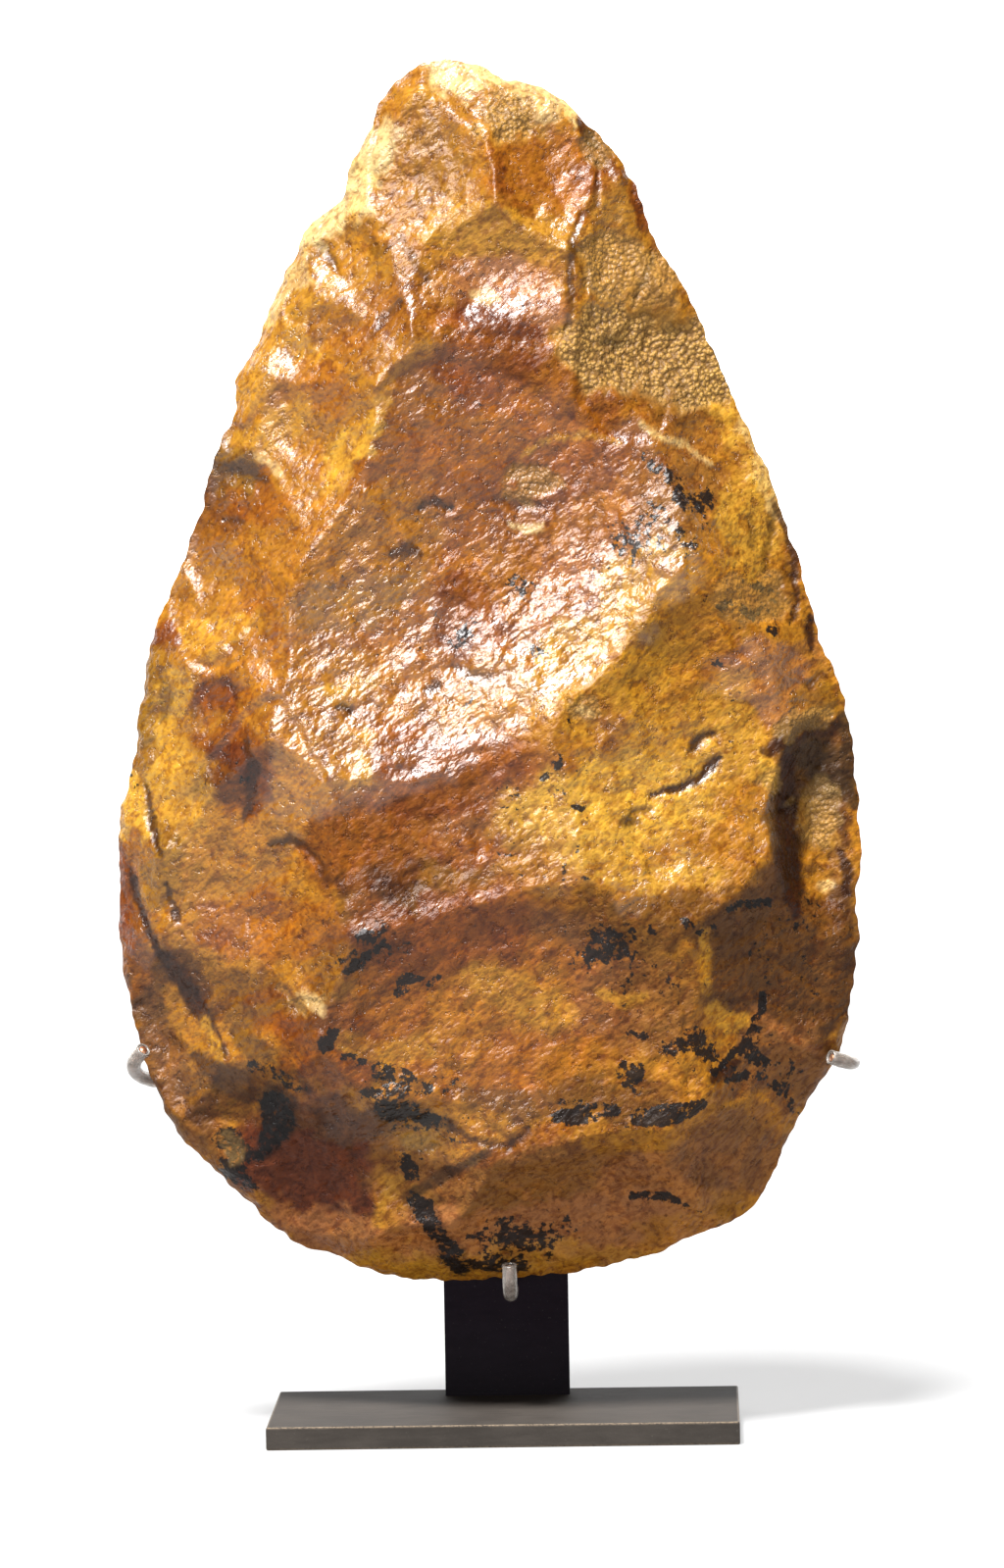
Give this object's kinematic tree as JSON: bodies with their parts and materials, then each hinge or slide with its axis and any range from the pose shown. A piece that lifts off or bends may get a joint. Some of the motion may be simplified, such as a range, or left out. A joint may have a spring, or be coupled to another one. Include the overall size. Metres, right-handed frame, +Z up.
{
  "type": "stone hand axe on a display stand",
  "caption": "Large almond-shaped flaked flint hand axe with a pointed tip and rounded butt, held upright by slim padded claws on a flat steel stand.",
  "frame": {"origin": "centre of the base bar's underside", "axes": "+Z up through the stone's tip, +X along the base bar to the right of the stone's front face, +Y towards the upright behind the stone"},
  "size_m": [0.1525, 0.0568, 0.2812],
  "materials": {
    "flint": "glossy flaked flint, amber to dark brown with black stains",
    "base_steel": "satin dark bronze finish",
    "plate_steel": "matte black",
    "rod_brass": "dull reddish brass",
    "clear_tube": "clear soft tube"
  },
  "bodies": {
    "root": {"hand_axe": "flint", "base_bar": "base_steel", "upright_plate": "plate_steel", "left_arm": "rod_brass", "right_arm": "rod_brass", "bottom_hook": "rod_brass", "left_sleeve": "clear_tube", "right_sleeve": "clear_tube", "bottom_sleeve": "clear_tube"}
  },
  "joints": []
}
